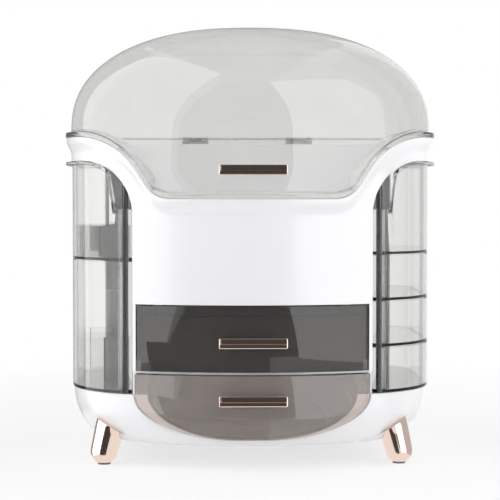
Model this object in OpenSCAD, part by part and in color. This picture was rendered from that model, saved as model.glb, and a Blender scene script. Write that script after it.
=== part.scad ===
// Dome-lidded cosmetics organiser: a white housing on four splayed legs, with a clear
// hinged dome lid, two clear drawers in front and clear bins that swing out of both sides.
// Millimetres. X runs to the right, Y to the back and Z up; the floor is at Z = 0.

/* [Body] */
// Width of the body over its straight sides
body_w = 290; // [280:1:300]
// Depth of the body from the bowed front to the flat back
body_d = 205; // [195:1:215]
// Radius of the bow across the front
bow_r = 260; // [240:5:320]
// Radius of the two front corners
front_corner_r = 75; // [60:1:80]
// Radius of the two back corners
back_corner_r = 40; // [30:1:50]
// Wall thickness of the white mouldings
wall = 2.5; // [2:0.1:3]

/* [Heights] */
// Underside of the base
base_z = 18; // [15:0.5:21]
// Top deck of the base, on which the side bins turn
deck_z = 57; // [54:0.5:60]
// Underside of the housing, above the drawers
housing_z = 127; // [122:0.5:132]
// Rim of the housing at the sides and the back
rim_z = 256.5; // [250:0.5:262]
// Rim of the housing at the middle of the front
dip_z = 207.8; // [200:0.5:215]
// Height of the dome above its springing line
dome_h = 84; // [70:1:90]

/* [Front sweep] */
// Half width of the level middle of the dipped rim
dip_half = 62; // [50:1:66]
// Radius of the sweep at its foot
sweep_low_r = 22; // [16:1:28]
// Radius of the sweep at its shoulder
sweep_high_r = 56; // [45:1:60]
// Steepest slope of the sweep, in degrees
sweep_slope = 57; // [50:1:62]

/* [Towers] */
// Half width of the middle block between the two towers
tower_x = 92.5; // [90:0.5:96]
// Radius of the arch over each tower
arch_r = 42; // [36:1:44]
// Height of the arch's crown
arch_z = 238; // [232:0.5:240]
// Height at which the left tower is split in two
left_split_z = 159.5; // [140:0.5:170]
// Height at which the upper right bin starts
right_split_z = 164.4; // [150:0.5:175]
// Wall thickness of the clear mouldings
clear_wall = 2; // [1.6:0.1:2.4]
// Radius of the hinge tube on each bin
tube_r = 5.2; // [4.8:0.1:6]
// Radius of the steel hinge rods
rod_r = 1.5; // [1.2:0.1:2]

/* [Drawers] */
// Underside of the lower drawer's front
lower_front_z = 23.6; // [22:0.2:27]
// Top of the lower drawer's front
lower_top_z = 73; // [70:0.5:75]
// Half width of the lower drawer's front
lower_front_half = 91; // [89:0.1:91.6]
// Width of the rounding at each bottom corner of the lower drawer's front
lower_corner_w = 80; // [60:1:88]
// Height of that rounding
lower_corner_h = 33; // [26:1:38]
// Thickness of the drawer fronts
front_t = 3.2; // [2.6:0.1:3.6]
// Height that a drawer's box stops below its front
box_drop = 8; // [6:0.5:12]
// Distance of the upper drawer's box from each end of its front
upper_box_in = 4.5; // [1:0.1:8]
// Distance of the lower drawer's box from each end of its front
lower_box_in = 11; // [3:0.5:14]

/* [Handles and legs] */
// Width of a handle
handle_w = 52; // [44:1:60]
// Height of a handle
handle_h = 8; // [6.5:0.1:9]
// Reach of a handle in front of the surface it is fixed to
handle_out = 9.6; // [8:0.1:11]
// Radius of a leg at its foot
leg_r = 10.6; // [9:0.1:11.5]
// Radius of a leg where it meets the base
leg_top_r = 12.6; // [11.6:0.1:13.5]
// Outward lean of a leg, in degrees
leg_lean = 13.5; // [8:0.5:16]
// Distance of a leg's foot from the side of the body
leg_inset_x = 29; // [27:0.5:35]
// Distance of a leg's foot from the front or the back of the body
leg_inset_y = 39.5; // [38:0.5:60]

/* [Hidden] */

$fn = 48;
white = "white";
smoke = [0.42, 0.42, 0.42, 0.45];
dark_smoke = [0.30, 0.29, 0.28, 0.6];
rose_gold = [0.90, 0.68, 0.57];
steel = "silver";
rubber = [0.2, 0.2, 0.2];

// Clearances
slide_gap = 0.6; // between a drawer and what it slides in
swing_gap = 0.6; // between a bin and what is above, below and beside it
lid_gap = 0.4; // between the lid and the rim it closes on
pin_gap = 0.05; // radial, between a rod and a tube that turns on it
seat_gap = 0.02; // radial, round a fixed screw or rod
face_gap = 0.8; // between a front and the opening it fills
bury = 1; // how far a boss runs into the wall that carries it

// Hinge of the lid
hinge_r = 3.6;
hinge_back = 6; // axis behind the back wall
hinge_out = hinge_back + hinge_r;
hinge_up = 2.4; // axis above the rim
hinge_x = 46;
knuckle_w = 12;
ear_w = 5;
hinge_clear = 0.5;
hinge_pin_r = 1.5;

// The origin is in the middle of the whole object, from the handles to the lid's hinge
front_y = -(body_d + hinge_out - handle_out) / 2;
back_y = front_y + body_d;
half_w = body_w / 2;
centre_y = (front_y + back_y) / 2;
leg_x = half_w - leg_inset_x;
bow_y = front_y + bow_r;
corner_x = half_w - front_corner_r;
corner_y = bow_y - sqrt(pow(bow_r - front_corner_r, 2) - pow(corner_x, 2));
bow_end = atan2(corner_y - bow_y, corner_x);
hinge_y = back_y + hinge_back;
hinge_z = rim_z + hinge_up;
far = 400; // longer than the whole object

// Rim band of the housing and flange of the lid
rim_out = 4; // how far the rim flares past the body
rim_deep = 13; // height of the flare
flange_out = 4.5;
flange_h = 4;
flange_bevel = 0.8;
dome_z = rim_z + lid_gap + flange_h + flange_bevel + 1.3;
dome_power = 2.3; // 2 would be an ellipse
dome_steps = 11;

// ---- plan outline -------------------------------------------------------------------------

function arc(cx, cy, r, a0, a1, n) =
  [for (i = [0 : n - 1]) let (a = a0 + (a1 - a0) * i / n) [cx + r * cos(a), cy + r * sin(a)]];

// Share of the bow's half angle that lies under the level middle of the rim
level_share = asin(dip_half / bow_r) / (90 + bow_end) * 0.96;
bow_fine = 11;
bow_coarse = 6;
corner_steps = 15;
back_steps = 7;

function bow_angles() = let (h = 90 + bow_end, m = level_share * h) concat(
  [for (i = [0 : bow_fine - 1]) -90 - h + (h - m) * i / bow_fine],
  [for (i = [0 : bow_coarse - 1]) -90 - m + 2 * m * i / bow_coarse],
  [for (i = [0 : bow_fine - 1]) -90 + m + (h - m) * i / bow_fine]);

// Outline of the body seen from above, drawn in by inset, anticlockwise from the left
function plan(inset = 0) = concat(
  [for (a = bow_angles()) [(bow_r - inset) * cos(a), bow_y + (bow_r - inset) * sin(a)]],
  arc(corner_x, corner_y, front_corner_r - inset, bow_end, 0, corner_steps),
  arc(half_w - back_corner_r, back_y - back_corner_r, back_corner_r - inset, 0, 90, back_steps),
  [[half_w - back_corner_r, back_y - inset]],
  arc(-half_w + back_corner_r, back_y - back_corner_r, back_corner_r - inset, 90, 180, back_steps),
  [[-half_w + inset, back_y - back_corner_r]],
  arc(-corner_x, corner_y, front_corner_r - inset, 180, 180 - bow_end, corner_steps));

// How far the front face lies behind the frontmost line at a distance x from the middle
function front_at(x) = abs(x) < bow_r * cos(bow_end)
  ? bow_y - sqrt(pow(bow_r, 2) - pow(x, 2))
  : corner_y - sqrt(max(0, pow(front_corner_r, 2) - pow(abs(x) - corner_x, 2)));

// ---- height of the swept rim --------------------------------------------------------------

sweep_x1 = dip_half + sweep_low_r * sin(sweep_slope);
sweep_z1 = dip_z + sweep_low_r * (1 - cos(sweep_slope));
sweep_z2 = rim_z - sweep_high_r * (1 - cos(sweep_slope));
sweep_x2 = sweep_x1 + (sweep_z2 - sweep_z1) / tan(sweep_slope);
sweep_x3 = sweep_x2 + sweep_high_r * sin(sweep_slope);

function sweep(x) =
  x <= dip_half ? dip_z :
  x <= sweep_x1 ? dip_z + sweep_low_r - sqrt(pow(sweep_low_r, 2) - pow(x - dip_half, 2)) :
  x <= sweep_x2 ? sweep_z1 + (x - sweep_x1) * tan(sweep_slope) :
  x <= sweep_x3 ? rim_z - sweep_high_r + sqrt(pow(sweep_high_r, 2) - pow(sweep_x3 - x, 2)) :
  rim_z;

rim_heights = [for (p = plan()) p[1] > centre_y ? rim_z : sweep(abs(p[0]))];

// ---- solids swept round the outline -------------------------------------------------------

// A ring of points: the outline drawn in by inset, at z plus follow times the rim's height
function ring(inset, z, follow = 0, x_scale = 1) = let (o = plan(inset))
  [for (i = [0 : len(o) - 1]) [o[i][0] * x_scale, o[i][1], z + follow * rim_heights[i]]];

function flat(lists) = [for (l = lists) for (v = l) v];

// Sides between rings, each ring above the last on the outside of the solid
function side_faces(n, rings, last) = [for (k = [0 : last]) for (i = [0 : n - 1])
  let (a = k * n, b = ((k + 1) % rings) * n, j = (i + 1) % n)
  each [[a + i, b + i, b + j], [a + i, b + j, a + j]]];

// A closed band whose section is a loop of rings, upwards on the outside
module band(rings) {
  n = len(rings[0]);
  polyhedron(flat(rings), side_faces(n, len(rings), len(rings) - 1), convexity = 8);
}

// A solid whose first and last ring are closed by a fan to a point each
module loft(rings, first, last) {
  n = len(rings[0]);
  m = len(rings);
  points = concat(flat(rings), [first, last]);
  ends = [for (i = [0 : n - 1]) let (j = (i + 1) % n)
    each [[m * n, i, j], [(m - 1) * n + i, m * n + 1, (m - 1) * n + j]]];
  polyhedron(points, concat(side_faces(n, m, m - 2), ends), convexity = 8);
}

module slab(inset, z0, z1) {
  translate([0, 0, z0]) linear_extrude(z1 - z0) polygon(plan(inset));
}

// A slab-shaped ring between two insets
module hoop(outer, inner, z0, z1) {
  translate([0, 0, z0]) linear_extrude(z1 - z0) difference() {
    polygon(plan(outer));
    polygon(plan(inner));
  }
}

// A profile drawn in X and Z, run from y0 to y1
module along_y(y0, y1) {
  translate([0, y1, 0]) rotate([90, 0, 0]) linear_extrude(y1 - y0) children();
}

module box(low, high) {
  translate(low) cube(high - low);
}

module both_sides() {
  children();
  mirror([1, 0, 0]) children();
}

// ---- towers -------------------------------------------------------------------------------

arch_foot_z = arch_z - arch_r;
bin_rear_y = back_y - 8; // flat rear wall of a bin
rear_wrap = 7; // how far the back wraps forwards round its corners
pivot_x = tower_x + swing_gap + tube_r;
pivot_y = front_at(pivot_x) + tube_r + 0.2;

// Section of the right tower's space, grown by grow; the arch stays concentric
module arch_profile(grow = 0) {
  intersection() {
    union() {
      translate([tower_x + arch_r, arch_foot_z]) circle(arch_r + grow, $fn = 96);
      translate([tower_x - grow, -far]) square([arch_r + grow, far + arch_foot_z]);
      translate([tower_x + arch_r, -far]) square([far, far + arch_z + grow]);
    }
    translate([tower_x - grow, -far]) square([far, 2 * far]);
  }
}

module tower_space(grow, y0, y1) {
  along_y(y0, y1) arch_profile(grow);
}

// ---- base ---------------------------------------------------------------------------------

base_inset = 2;
tuck_front = 7; // how far the underside is drawn in at the front
tuck_side = 22; // and at the sides, beyond that
base_steps = 7;

// Rings of the base from its underside up; grow draws them in
function base_rings(grow, z_low) = [for (k = [0 : base_steps])
  let (u = cos(90 * k / base_steps), c = 1 - sqrt(1 - u * u))
  ring(base_inset + grow + tuck_front * c, deck_z - (deck_z - z_low) * u, 0,
    1 - tuck_side / half_w * c)];

module base_body(grow = 0, z_low = base_z) {
  loft(base_rings(grow, z_low), [0, centre_y, z_low], [0, centre_y, deck_z]);
}

// Section of the lower drawer: a flat top and two rounded bottom corners, w wide and h high
module drawer_profile(half, z0, z1, w, h) {
  intersection() {
    union() {
      translate([-half + w, z0]) square([2 * (half - w), h]);
      for (s = [-1, 1]) translate([s * (half - w), z0 + h]) scale([w, h]) circle(1, $fn = 96);
      translate([-half, z0 + h]) square([2 * half, far]);
    }
    translate([-half, z0 - 1]) square([2 * half, z1 - z0 + 1]);
  }
}

lower_box_half = lower_front_half - lower_box_in;
lower_box_w = lower_corner_w - lower_box_in; // rounding of the box, inside that of the front
lower_box_z = lower_front_z + 1.4;
lower_box_top = lower_top_z - box_drop;
drawer_rear_y = back_y - 18;
bay_rear_y = drawer_rear_y + 3;
front_zone = front_t + 1; // depth of the step that a drawer's front closes on

module lower_bay() {
  along_y(front_y - 20, bay_rear_y)
    drawer_profile(lower_box_half + slide_gap, lower_box_z - slide_gap, far,
      lower_box_w + slide_gap, lower_corner_h + slide_gap);
  intersection() {
    hoop(-20, front_zone, base_z - 10, deck_z + 10);
    along_y(front_y - 20, centre_y) drawer_profile(lower_front_half + face_gap,
      lower_front_z - face_gap, far, lower_corner_w + face_gap, lower_corner_h + face_gap);
  }
}

// A post that ties the deck to a leg; the leg's screw runs down its middle
leg_joint_z = 44;
leg_ball_z = leg_r - 1.6; // centre of the leg's round end above the pad
pad_t = 1.2;
pad_r = 5;
boss_r = 6;
leg_ys = [front_y + leg_inset_y, back_y - leg_inset_y];
leg_joint_x = leg_x - (leg_joint_z - leg_ball_z - pad_t) * tan(leg_lean);
screw_r = 1.9;
screw_head_r = 3.8;
screw_head_h = 2.2;
chamber_wall = 2.5;

module base_tub() {
  color(white) difference() {
    union() {
      difference() {
        base_body();
        both_sides() intersection() {
          base_body(chamber_wall, base_z + chamber_wall);
          box([tower_x + 2, -far, base_z], [far, far, deck_z - wall]);
        }
      }
      for (s = [-1, 1]) for (y = leg_ys)
        translate([s * leg_joint_x, y, leg_joint_z])
          cylinder(r = boss_r, h = deck_z - leg_joint_z - 0.5);
    }
    lower_bay();
    for (s = [-1, 1]) for (y = leg_ys) {
      leg_body(s, y, 0.05, leg_joint_z);
      leg_screw(s, y, seat_gap);
    }
    both_sides() translate([pivot_x, pivot_y, deck_z - rod_seat])
      cylinder(r = rod_r + seat_gap, h = rod_seat + 1);
  }
}

// ---- legs ---------------------------------------------------------------------------------

// A leg on side s at depth y, grown by grow and cut level at z_top
module leg_body(s, y, grow, z_top) {
  intersection() {
    translate([s * leg_x, y, leg_ball_z + pad_t]) rotate([0, -s * leg_lean, 0]) union() {
      sphere(leg_r + grow, $fn = 64);
      cylinder(r1 = leg_r + grow, r2 = leg_top_r + grow, h = 45, $fn = 64);
    }
    box([-far, -far, pad_t], [far, far, z_top]);
  }
}

module leg_screw(s, y, grow) {
  translate([s * leg_joint_x, y, leg_joint_z - 12])
    cylinder(r = screw_r + grow, h = deck_z - leg_joint_z + 12 - 0.2);
  translate([s * leg_joint_x, y, deck_z - screw_head_h])
    cylinder(r = screw_head_r + grow, h = screw_head_h + (grow > 0 ? 1 : -0.2));
}

module leg(s, y) {
  color(rose_gold) difference() {
    leg_body(s, y, 0, leg_joint_z);
    leg_screw(s, y, seat_gap);
  }
}

module leg_front_left() { leg(-1, leg_ys[0]); }
module leg_front_right() { leg(1, leg_ys[0]); }
module leg_rear_left() { leg(-1, leg_ys[1]); }
module leg_rear_right() { leg(1, leg_ys[1]); }

module foot_pads() {
  color(rubber) for (s = [-1, 1]) for (y = leg_ys)
    translate([s * leg_x, y, 0]) cylinder(r = pad_r, h = pad_t);
}

module leg_screws() {
  color(steel) for (s = [-1, 1]) for (y = leg_ys) leg_screw(s, y, 0);
}

// ---- carcass and rear cover ---------------------------------------------------------------

shelf_z = lower_top_z + 0.6;
shelf_t = 1.5;
roof_t = 2.5;
carcass_back_y = back_y - wall - 0.5;
housing_screw_spots = [for (sx = [-1, 1]) for (sy = [-1, 1]) [sx * tower_x * 0.8, sy * body_d * 0.3]];
cover_screw_spots = [for (sx = [-1, 1]) for (z = [shelf_z + 8.4, housing_z - 15])
  [sx * tower_x * 0.84, z]];
small_screw_r = 1.5;
small_head_r = 2.8;
small_head_h = 1.8;
small_boss_r = 4;
guide_h = 9;

module carcass() {
  color(white) difference() {
    union() {
      intersection() {
        slab(0.3, deck_z, housing_z + roof_t);
        difference() {
          box([-tower_x, -far, deck_z], [tower_x, carcass_back_y, housing_z + roof_t]);
          box([-tower_x + wall, -far, deck_z - 1], [tower_x - wall, carcass_back_y - wall, shelf_z]);
          box([-tower_x + wall, -far, shelf_z + shelf_t],
            [tower_x - wall, carcass_back_y - wall, housing_z]);
        }
      }
      // ribs that guide the upper drawer's box
      both_sides() box([upper_box_half + slide_gap, front_y + 25, shelf_z + shelf_t - 0.2],
        [tower_x - wall + 0.5, drawer_rear_y, shelf_z + shelf_t + guide_h]);
      for (p = housing_screw_spots)
        translate([p[0], p[1], housing_z - 6]) cylinder(r = small_boss_r, h = 6 + bury);
      for (p = cover_screw_spots) translate([p[0], carcass_back_y - wall - 7, p[1]])
        rotate([-90, 0, 0]) cylinder(r = small_boss_r, h = 7 + bury);
    }
    hoop(-10, front_zone, deck_z - 1, shelf_z + shelf_t + 0.2);
    hoop(-10, wall + 0.5, housing_z - 0.2, far);
    box([-tower_x + wall, -far, shelf_z - 1], [tower_x - wall, front_y + front_zone + 1, shelf_z + 3]);
    housing_screws_body(seat_gap);
    cover_screws_body(seat_gap);
  }
}

module rear_cover() {
  color(white) difference() {
    intersection() {
      hoop(0, wall, deck_z + 0.3, housing_z - 0.3);
      box([-far, back_y - rear_wrap, 0], [far, far, far]);
    }
    cover_screws_body(seat_gap);
  }
}

module cover_screws_body(grow) {
  for (p = cover_screw_spots) translate([p[0], 0, p[1]]) {
    translate([0, carcass_back_y - wall - 6, 0]) rotate([-90, 0, 0])
      cylinder(r = small_screw_r + grow, h = back_y - carcass_back_y + wall + 6);
    translate([0, back_y - 1, 0]) rotate([-90, 0, 0])
      cylinder(r = small_head_r + grow, h = small_head_h);
  }
}

module rear_cover_screws() { color(steel) cover_screws_body(0); }

module housing_screws_body(grow) {
  for (p = housing_screw_spots) translate([p[0], p[1], 0]) {
    translate([0, 0, housing_z - 5]) cylinder(r = small_screw_r + grow, h = 5 + roof_t + wall);
    translate([0, 0, housing_z + roof_t + wall - 0.2])
      cylinder(r = small_head_r + grow, h = small_head_h);
  }
}

module housing_screws() { color(steel) housing_screws_body(0); }

// ---- housing ------------------------------------------------------------------------------

floor_z = housing_z + roof_t;
rod_seat = 8; // how deep a rod stands in the deck
tube_top_z = arch_foot_z + 4; // top of the topmost hinge tube's narrow bore
spigot_r = 3.4;

module rim_wall() {
  band([ring(0, housing_z), ring(0, -rim_deep, 1), ring(-rim_out * 0.3, -rim_deep * 0.72, 1),
    ring(-rim_out * 0.85, -rim_deep * 0.36, 1), ring(-rim_out, -2, 1), ring(-rim_out, 0, 1),
    ring(wall, 0, 1), ring(wall, housing_z)]);
}

module arch_liner() {
  intersection() {
    difference() {
      tower_space(wall, front_y - 1, back_y);
      tower_space(0, front_y - 2, back_y + 1);
      box([-far, -far, -far], [far, far, housing_z + roof_t]);
    }
    slab(wall / 2, 0, far);
  }
}

// Ears on the housing, one each side of every lid knuckle
module hinge_ears() {
  for (s = [-1, 1]) for (e = [-1, 1])
    translate([s * hinge_x + e * (knuckle_w / 2 + hinge_clear + ear_w / 2), 0, 0]) {
      translate([-ear_w / 2, hinge_y, hinge_z]) rotate([0, 90, 0]) cylinder(r = hinge_r, h = ear_w);
      box([-ear_w / 2, hinge_y - hinge_r, rim_z - 9], [ear_w / 2, hinge_y + hinge_r, hinge_z]);
      box([-ear_w / 2, back_y - 1, rim_z - 9], [ear_w / 2, hinge_y, rim_z - 2]);
    }
}

module hinge_bores(r) {
  for (s = [-1, 1])
    translate([s * hinge_x - knuckle_w, hinge_y, hinge_z]) rotate([0, 90, 0])
      cylinder(r = r, h = 2 * knuckle_w);
}

module housing() {
  color(white) difference() {
    union() {
      difference() {
        rim_wall();
        both_sides() tower_space(0, front_y - 20, back_y - rear_wrap);
      }
      both_sides() arch_liner();
      intersection() {
        slab(wall / 2, floor_z, floor_z + wall);
        box([-tower_x, -far, 0], [tower_x, far, far]);
      }
      both_sides() intersection() {
        translate([pivot_x, pivot_y, tube_top_z + swing_gap])
          cylinder(r = spigot_r, h = arch_r);
        tower_space(1, front_y - 20, back_y);
      }
      hinge_ears();
    }
    for (s = [-1, 1]) translate([s * hinge_x, 0, 0])
      box([-knuckle_w / 2 - hinge_clear, back_y + 1.5, rim_z - 2],
        [knuckle_w / 2 + hinge_clear, far, far]);
    hinge_bores(hinge_pin_r + seat_gap);
    housing_screws_body(seat_gap);
    both_sides() translate([pivot_x, pivot_y, tube_top_z])
      cylinder(r = rod_r + seat_gap, h = rod_seat + swing_gap);
  }
}

module lid_hinge_pins() {
  color(steel) for (s = [-1, 1])
    translate([s * hinge_x - knuckle_w / 2 - hinge_clear - ear_w, hinge_y, hinge_z])
      rotate([0, 90, 0]) cylinder(r = hinge_pin_r, h = knuckle_w + 2 * (hinge_clear + ear_w));
}

module pivot_rod() {
  color(steel) translate([pivot_x, pivot_y, deck_z - rod_seat])
    cylinder(r = rod_r, h = tube_top_z + rod_seat - deck_z + rod_seat - 0.5);
}

module pivot_rod_right() { pivot_rod(); }
module pivot_rod_left() { mirror([1, 0, 0]) pivot_rod(); }

// ---- lid ----------------------------------------------------------------------------------

lid_wall = 2.2;

// A ring of the dome, drawn in by inset, at angle a above its springing line
function dome_ring(inset, a) = let (f = pow(cos(a), 2 / dome_power), o = plan(inset))
  [for (p = o) [p[0] * f, centre_y + (p[1] - centre_y) * f,
    dome_z + pow(sin(a), 2 / dome_power) * (dome_h - inset)]];

module lid_shell() {
  inside = [for (k = [dome_steps - 1 : -1 : 0]) dome_ring(lid_wall, 90 * k / dome_steps)];
  edge = [ring(lid_wall, lid_gap, 1), ring(-flange_out, lid_gap, 1),
    ring(-flange_out, lid_gap + flange_h, 1), ring(0, lid_gap + flange_h + flange_bevel, 1)];
  outside = [for (k = [0 : dome_steps - 1]) dome_ring(0, 90 * k / dome_steps)];
  loft(concat(inside, edge, outside), [0, centre_y, dome_z + dome_h - lid_wall],
    [0, centre_y, dome_z + dome_h]);
}

module lid() {
  color(smoke) difference() {
    union() {
      difference() {
        lid_shell();
        for (s = [-1, 1]) for (e = [-1, 1])
          translate([s * hinge_x + e * (knuckle_w / 2 + hinge_clear + ear_w / 2), 0, 0])
            box([-ear_w / 2 - hinge_clear, hinge_y - hinge_r - 0.5, 0],
              [ear_w / 2 + hinge_clear, far, far]);
      }
      for (s = [-1, 1]) translate([s * hinge_x - knuckle_w / 2, 0, 0]) {
        translate([0, hinge_y, hinge_z]) rotate([0, 90, 0]) cylinder(r = hinge_r, h = knuckle_w);
        box([0, back_y - 1, rim_z + lid_gap], [knuckle_w, hinge_y, rim_z + lid_gap + flange_h]);
      }
    }
    hinge_bores(hinge_pin_r + pin_gap);
    handle_screws_body(lid_handle_z, lid_wall, seat_gap);
  }
}

// ---- handles ------------------------------------------------------------------------------

lid_handle_z = 229.6;
upper_handle_z = 98.6;
lower_handle_z = 54.6;
handle_grip = 5; // thickness of the bar in front of its posts
post_x = 20;
post_r = 2.6;

// Handle on a front of thickness t whose face is the bowed outline, at height z
module handle(z) {
  color(rose_gold) difference() {
    union() {
      box([-handle_w / 2, front_y - handle_out, z - handle_h / 2],
        [handle_w / 2, front_y - handle_out + handle_grip, z + handle_h / 2]);
      for (s = [-1, 1]) translate([s * post_x, front_y - handle_out + 1, z])
        rotate([-90, 0, 0]) cylinder(r = post_r, h = front_at(post_x) - front_y + handle_out - 1);
    }
    box([-handle_w / 2 + 1.2, front_y - handle_out - 1, z - handle_h / 2 + 3.2],
      [handle_w / 2 - 1.2, front_y - handle_out + 1.6, z + handle_h / 2 - 0.8]);
    // the posts end on the bowed face
    slab(0, z - 10, z + 10);
    handle_screws_body(z, front_t, seat_gap);
  }
}

// Screws that hold a handle from behind a front of thickness t
module handle_screws_body(z, t, grow) {
  for (s = [-1, 1]) translate([s * post_x, 0, z]) {
    translate([0, front_at(post_x) - handle_out + 3.6, 0]) rotate([-90, 0, 0])
      cylinder(r = 1 + grow, h = handle_out - 3.6 + t + 1);
    translate([0, front_at(post_x) + t + 0.3, 0]) rotate([-90, 0, 0])
      cylinder(r = 2 + grow, h = 1.4);
  }
}

module lid_handle() { handle(lid_handle_z); }
module upper_drawer_handle() { handle(upper_handle_z); }
module lower_drawer_handle() { handle(lower_handle_z); }
module lid_handle_screws() { color(steel) handle_screws_body(lid_handle_z, lid_wall, 0); }
module upper_drawer_screws() { color(steel) handle_screws_body(upper_handle_z, front_t, 0); }
module lower_drawer_screws() { color(steel) handle_screws_body(lower_handle_z, front_t, 0); }

// ---- drawers ------------------------------------------------------------------------------

upper_front_half = tower_x - wall - face_gap;
upper_front_z = shelf_z + shelf_t + 0.5;
upper_top_z = housing_z - face_gap;
upper_box_half = upper_front_half - upper_box_in;
upper_box_z = upper_front_z + 0.2;
upper_box_top = upper_top_z - box_drop;

// The front of a drawer, cut from the bowed face by the profile given as a child
module drawer_front() {
  intersection() {
    hoop(0, front_t, 0, far);
    along_y(front_y - 1, centre_y) children();
  }
}

module upper_drawer() {
  color(dark_smoke) difference() {
    union() {
      drawer_front() translate([-upper_front_half, upper_front_z])
        square([2 * upper_front_half, upper_top_z - upper_front_z]);
      intersection() {
        slab(front_t / 2, upper_box_z, upper_box_top);
        difference() {
          box([-upper_box_half, -far, upper_box_z], [upper_box_half, drawer_rear_y, far]);
          intersection() {
            slab(front_t, upper_box_z + clear_wall, far);
            box([-upper_box_half + clear_wall, -far, 0],
              [upper_box_half - clear_wall, drawer_rear_y - clear_wall, far]);
          }
        }
      }
    }
    handle_screws_body(upper_handle_z, front_t, seat_gap);
  }
}

module lower_drawer() {
  color(dark_smoke) difference() {
    union() {
      drawer_front()
        drawer_profile(lower_front_half, lower_front_z, lower_top_z, lower_corner_w,
          lower_corner_h);
      intersection() {
        slab(front_t / 2, 0, lower_box_top);
        difference() {
          along_y(front_y - 1, drawer_rear_y)
            drawer_profile(lower_box_half, lower_box_z, far, lower_box_w, lower_corner_h);
          intersection() {
            slab(front_t, 0, far);
            along_y(front_y - 1, drawer_rear_y - clear_wall)
              drawer_profile(lower_box_half - clear_wall, lower_box_z + clear_wall, far,
                lower_box_w - clear_wall, lower_corner_h - clear_wall);
          }
        }
      }
    }
    handle_screws_body(lower_handle_z, front_t, seat_gap);
  }
}

// ---- bins ---------------------------------------------------------------------------------

bin_inset = 0.8;
bin_x = tower_x + swing_gap;
tray_pitch = (right_split_z - deck_z) / 3;
lip_out = 4.5;
lip_h = 2.6;

// Plan of a bin on the right side, drawn in by inset, with a round corner at its hinge
module bin_plan(inset) {
  difference() {
    intersection() {
      polygon(plan(bin_inset + inset));
      translate([bin_x + inset, -far]) square([far, far + bin_rear_y - inset]);
    }
    translate([0, -far]) square([pivot_x, far + pivot_y]);
  }
}

// A bin from z0 to z1 on the right side; an arched one is cut to the arch and has a lip
module bin(z0, z1, arched = false) {
  top = arched ? arch_z : z1;
  tube_top = arched ? tube_top_z : z1;
  difference() {
    intersection() {
      union() {
        translate([0, 0, z0]) linear_extrude(top - z0) difference() {
          union() {
            bin_plan(0);
            translate([pivot_x, pivot_y]) circle(tube_r);
          }
          difference() {
            bin_plan(clear_wall);
            translate([pivot_x, pivot_y]) circle(tube_r);
          }
        }
        translate([0, 0, z0]) linear_extrude(clear_wall) bin_plan(0);
        if (arched) arch_lip();
      }
      if (arched) tower_space(-swing_gap, front_y - 20, back_y);
    }
    if (arched) swing_relief();
    translate([pivot_x, pivot_y, z0 - 1]) cylinder(r = rod_r + pin_gap, h = far);
    if (arched) translate([pivot_x, pivot_y, tube_top])
      cylinder(r = spigot_r + 0.3, h = far);
  }
}

// What the arch would catch while an arched bin swings: at a distance d from its axis the bin
// leaves the arch once it is front_reach in front of the axis, and nearer than corner_reach it
// turns into the front wall of the housing
module swing_relief() {
  front_reach = tube_r + 0.2 + swing_gap;
  corner_reach = front_reach + 5;
  step = sqrt(pow(corner_reach, 2) - pow(front_reach, 2));
  r = arch_r - swing_gap;
  span = tower_x + arch_r - pivot_x;
  translate([pivot_x, pivot_y, 0]) rotate_extrude($fn = 72) polygon(concat(
    [[0, far], [0, tube_top_z - 0.3], [corner_reach, tube_top_z - 0.3]],
    [for (k = [0 : 12]) let (x = step + (span - step) * pow(k / 12, 2))
      [sqrt(pow(front_reach, 2) + pow(x, 2)), arch_foot_z + sqrt(pow(r, 2) - pow(span - x, 2))]],
    [[sqrt(pow(front_reach, 2) + pow(span, 2)), far]]));
}

// The lip along the arch, cut off level with the hinge tube so that the bin can swing
module arch_lip() {
  intersection() {
    hoop(-lip_out, bin_inset + clear_wall, arch_foot_z, arch_z);
    difference() {
      tower_space(-swing_gap, front_y - 20, back_y);
      tower_space(-swing_gap - lip_h, front_y - 21, back_y + 1);
    }
    box([pivot_x, pivot_y - tube_r, 0], [far, bin_rear_y, far]);
  }
}

module left_upper_bin() {
  color(smoke) mirror([1, 0, 0]) bin(left_split_z + swing_gap, arch_z, true);
}
module left_lower_bin() {
  color(smoke) mirror([1, 0, 0]) bin(deck_z + swing_gap, left_split_z);
}
module right_upper_bin() { color(smoke) bin(right_split_z + swing_gap, arch_z, true); }
module right_tray(k) {
  color(smoke) bin(deck_z + k * tray_pitch + swing_gap, deck_z + (k + 1) * tray_pitch);
}
module right_tray_top() { right_tray(2); }
module right_tray_middle() { right_tray(1); }
module right_tray_bottom() { right_tray(0); }

divider_t = 1.6;
divider_gap = 0.4;
upper_divider_h = 24;
upper_divider_pitch = 30;
upper_strip_in = 26.9; // from the bin's inner side to the lengthways strip
lower_divider_h = 36;
lower_divider_pitch = 50;
lower_strip_in = 24.9;
divider_back = 20; // from the bin's rear end to the last cross wall

// A lengthways strip with count cross walls, dropped into a left bin
module divider(z0, h, pitch, count, strip_in) {
  inner = clear_wall + divider_gap;
  strip_x = bin_x + strip_in;
  ys = [for (k = [count - 1 : -1 : 0]) bin_rear_y - divider_back - k * pitch];
  mirror([1, 0, 0]) intersection() {
    translate([0, 0, z0 + clear_wall + divider_gap]) linear_extrude(h) bin_plan(inner);
    union() {
      box([strip_x - divider_t / 2, ys[0], 0], [strip_x + divider_t / 2, ys[len(ys) - 1], far]);
      for (y = ys) box([bin_x, y - divider_t / 2, 0], [far, y + divider_t / 2, far]);
    }
  }
}

module left_upper_divider() {
  color(smoke) divider(left_split_z + swing_gap, upper_divider_h, upper_divider_pitch, 5, upper_strip_in);
}
module left_lower_divider() {
  color(smoke) divider(deck_z + swing_gap, lower_divider_h, lower_divider_pitch, 3, lower_strip_in);
}

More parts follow.
